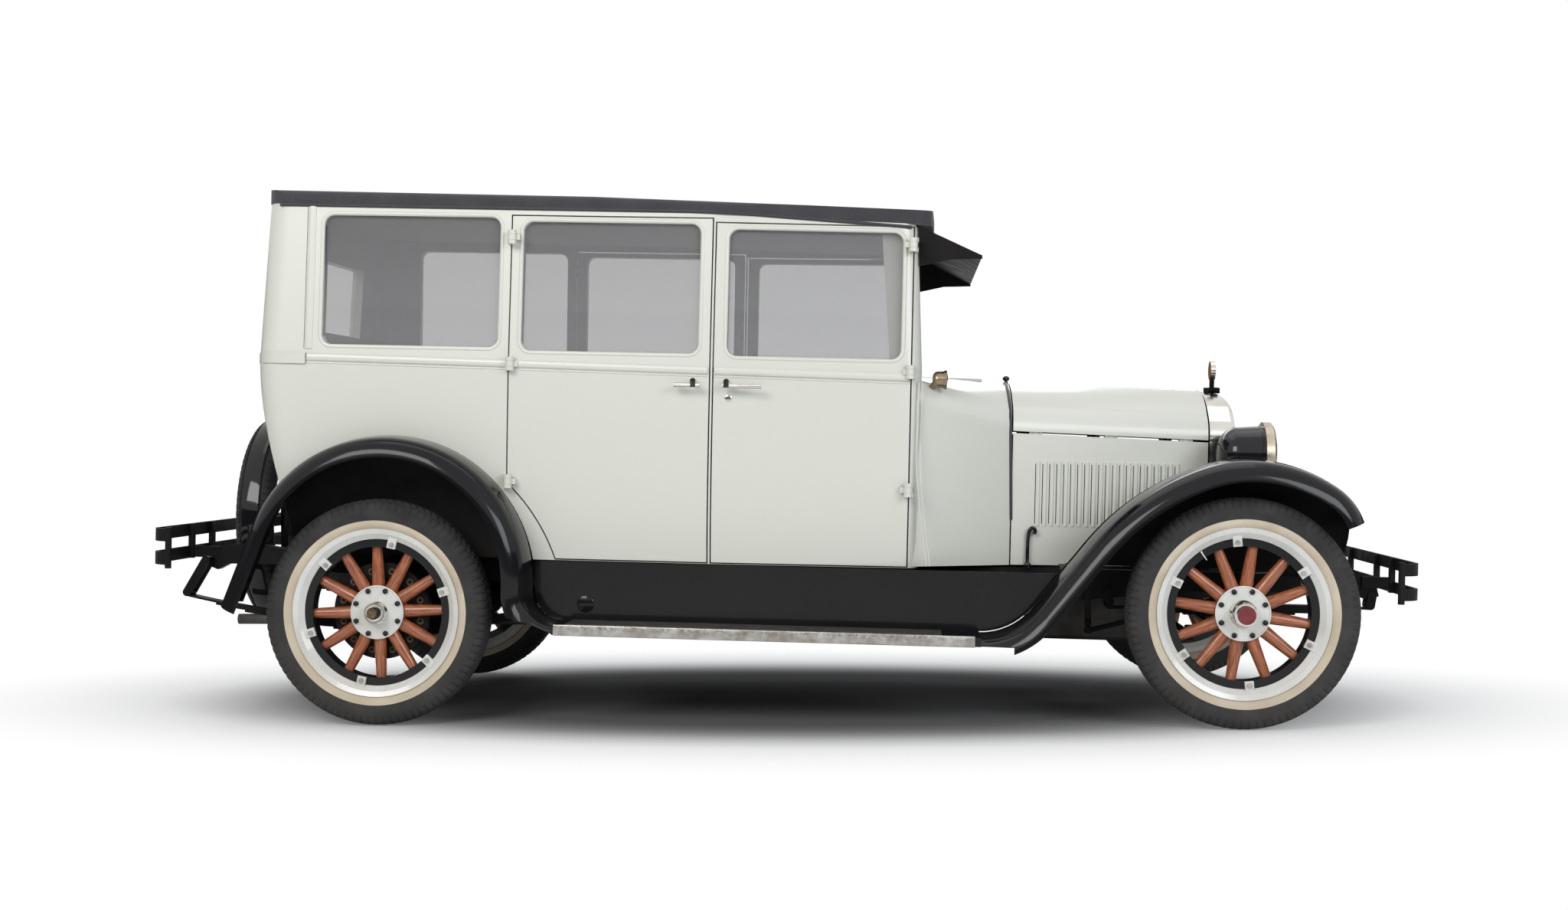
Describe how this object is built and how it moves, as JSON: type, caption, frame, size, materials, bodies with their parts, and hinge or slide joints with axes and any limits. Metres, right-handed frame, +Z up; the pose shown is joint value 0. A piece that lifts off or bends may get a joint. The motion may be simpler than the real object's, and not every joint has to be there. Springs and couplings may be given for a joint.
{
  "type": "car",
  "caption": "Upright early saloon car with wood-spoked wheels, hinged doors and hood, a linked steering gear and a spare wheel behind.",
  "frame": {"origin": "on the ground, under the middle of the car's length and width", "axes": "+X forward, +Y to the car's left, +Z up"},
  "size_m": [4.329, 1.7, 1.8861],
  "materials": {
    "black_enamel": "gloss",
    "body_paint": "gloss",
    "bronze": "satin",
    "chassis_black": "satin",
    "floor_boards": "matt",
    "iron_grey": "rough",
    "lamp_black": "gloss",
    "nickel": "polished",
    "rim_white": "gloss",
    "roof_fabric": "grained",
    "seat_leather": "satin",
    "spoke_wood": "varnished",
    "tyre": "matt",
    "wheel_rim_black": "gloss",
    "window_glass": "clear"
  },
  "bodies": {
    "car": {"body_glass": "window_glass", "body_rear": "body_paint", "body_side_left": "body_paint", "body_side_right": "body_paint", "cowl": "body_paint", "cowl_lamps": "bronze", "drivetrain": "chassis_black", "engine": "iron_grey", "exhaust": "iron_grey", "floor": "floor_boards", "frame": "chassis_black", "front_axle": "chassis_black", "front_bumper": "chassis_black", "front_fenders": "black_enamel", "front_seat": "seat_leather", "fuel_tank": "iron_grey", "headlamps": "lamp_black", "radiator_cap": "nickel", "radiator_core": "iron_grey", "radiator_shell": "nickel", "rear_axle": "chassis_black", "rear_bumper": "chassis_black", "rear_fenders": "black_enamel", "rear_seat": "seat_leather", "roof_cover": "roof_fabric", "running_boards": "black_enamel", "spare_carrier": "chassis_black", "spare_rim": "rim_white", "spare_tyre": "tyre", "springs": "chassis_black", "steering_gear": "chassis_black", "visor": "black_enamel", "windshield_frame": "body_paint"},
    "wheel_rear_right": {"wheel_rear_right": "spoke_wood", "tyre_rear_right": "tyre"},
    "wheel_rear_left": {"wheel_rear_left": "spoke_wood", "tyre_rear_left": "tyre"},
    "wheel_front_right": {"wheel_front_right": "spoke_wood", "tyre_front_right": "tyre"},
    "wheel_front_left": {"wheel_front_left": "spoke_wood", "tyre_front_left": "tyre"},
    "knuckle_right": {"knuckle_right": "chassis_black"},
    "knuckle_left": {"knuckle_left": "chassis_black"},
    "tie_rod": {"tie_rod": "chassis_black"},
    "drag_link": {"drag_link": "chassis_black"},
    "pitman_arm": {"pitman_arm": "chassis_black"},
    "steering_wheel": {"steering_wheel": "wheel_rim_black"},
    "door_front_right": {"door_front_right": "body_paint", "door_glass_front_right": "window_glass"},
    "door_rear_right": {"door_rear_right": "body_paint", "door_glass_rear_right": "window_glass"},
    "door_front_left": {"door_front_left": "body_paint", "door_glass_front_left": "window_glass"},
    "door_rear_left": {"door_rear_left": "body_paint", "door_glass_rear_left": "window_glass"},
    "hood_top_right": {"hood_top_right": "body_paint"},
    "hood_side_right": {"hood_side_right": "body_paint"},
    "hood_top_left": {"hood_top_left": "body_paint"},
    "hood_side_left": {"hood_side_left": "body_paint"}
  },
  "joints": [
    {"name": "wheel_rear_right_spin", "type": "hinge", "parent": "car", "child": "wheel_rear_right", "pos_m": [-1.368, -0.711, 0.39], "axis": [0, 1, 0], "continuous": true},
    {"name": "wheel_rear_left_spin", "type": "hinge", "parent": "car", "child": "wheel_rear_left", "pos_m": [-1.368, 0.711, 0.39], "axis": [0, 1, 0], "continuous": true},
    {"name": "steer_right", "type": "hinge", "parent": "car", "child": "knuckle_right", "pos_m": [1.578, -0.62, 0.39], "axis": [0, 0, 1], "range_deg": [-28, 28]},
    {"name": "steer_left", "type": "hinge", "parent": "car", "child": "knuckle_left", "pos_m": [1.578, 0.62, 0.39], "axis": [0, 0, 1], "range_deg": [-28, 28]},
    {"name": "wheel_front_right_spin", "type": "hinge", "parent": "knuckle_right", "child": "wheel_front_right", "pos_m": [1.578, -0.711, 0.39], "axis": [0, 1, 0], "continuous": true},
    {"name": "wheel_front_left_spin", "type": "hinge", "parent": "knuckle_left", "child": "wheel_front_left", "pos_m": [1.578, 0.711, 0.39], "axis": [0, 1, 0], "continuous": true},
    {"name": "tie_rod_pivot", "type": "hinge", "parent": "knuckle_right", "child": "tie_rod", "pos_m": [1.418, -0.62, 0.307], "axis": [0, 0, 1], "range_deg": [-28, 28]},
    {"name": "drag_link_pivot", "type": "hinge", "parent": "knuckle_right", "child": "drag_link", "pos_m": [1.578, -0.436, 0.4215], "axis": [0, 0, 1], "range_deg": [-28, 28]},
    {"name": "pitman_shaft", "type": "hinge", "parent": "car", "child": "pitman_arm", "pos_m": [1.092, -0.4285, 0.47], "axis": [0, 1, 0], "range_deg": [-38, 38]},
    {"name": "steering_wheel_turn", "type": "hinge", "parent": "car", "child": "steering_wheel", "pos_m": [0.30154, -0.326, 1.10668], "axis": [-0.7853, 0, 0.6191], "range_deg": [-340, 340]},
    {"name": "door_front_right_hinge", "type": "hinge", "parent": "car", "child": "door_front_right", "pos_m": [0.47026, -0.661, 1.20829], "axis": [0.0262, 0, 0.9997], "range_deg": [0, 70]},
    {"name": "door_front_left_hinge", "type": "hinge", "parent": "car", "child": "door_front_left", "pos_m": [0.47026, 0.661, 1.20829], "axis": [-0.0262, 0, -0.9997], "range_deg": [0, 70]},
    {"name": "door_rear_right_hinge", "type": "hinge", "parent": "car", "child": "door_rear_right", "pos_m": [-0.90727, -0.711, 1.24437], "axis": [-0.0262, 0, -0.9997], "range_deg": [0, 60]},
    {"name": "door_rear_left_hinge", "type": "hinge", "parent": "car", "child": "door_rear_left", "pos_m": [-0.90727, 0.711, 1.24437], "axis": [0.0262, 0, 0.9997], "range_deg": [0, 60]},
    {"name": "hood_top_right_hinge", "type": "hinge", "parent": "car", "child": "hood_top_right", "pos_m": [0.83361, 0, 1.17877], "axis": [-0.9991, 0, 0.0429], "range_deg": [0, 60]},
    {"name": "hood_top_left_hinge", "type": "hinge", "parent": "car", "child": "hood_top_left", "pos_m": [0.83361, 0, 1.17877], "axis": [0.9991, 0, -0.0429], "range_deg": [0, 60]},
    {"name": "hood_side_right_hinge", "type": "hinge", "parent": "hood_top_right", "child": "hood_side_right", "pos_m": [0.829, -0.39, 1.00283], "axis": [-0.981, -0.1868, 0.0518], "range_deg": [-42, 0]},
    {"name": "hood_side_left_hinge", "type": "hinge", "parent": "hood_top_left", "child": "hood_side_left", "pos_m": [0.829, 0.39, 1.00283], "axis": [0.981, -0.1868, -0.0518], "range_deg": [-42, 0]}
  ],
  "couplings": [
    {"joint": "steer_left", "follows": "steer_right", "ratio": 1},
    {"joint": "tie_rod_pivot", "follows": "steer_right", "ratio": -1},
    {"joint": "drag_link_pivot", "follows": "steer_right", "ratio": -1},
    {"joint": "pitman_shaft", "follows": "steer_right", "ratio": 1.3382},
    {"joint": "steering_wheel_turn", "follows": "steer_right", "ratio": 12},
    {"joint": "hood_side_right_hinge", "follows": "hood_top_right_hinge", "ratio": -0.7},
    {"joint": "hood_side_left_hinge", "follows": "hood_top_left_hinge", "ratio": -0.7}
  ]
}
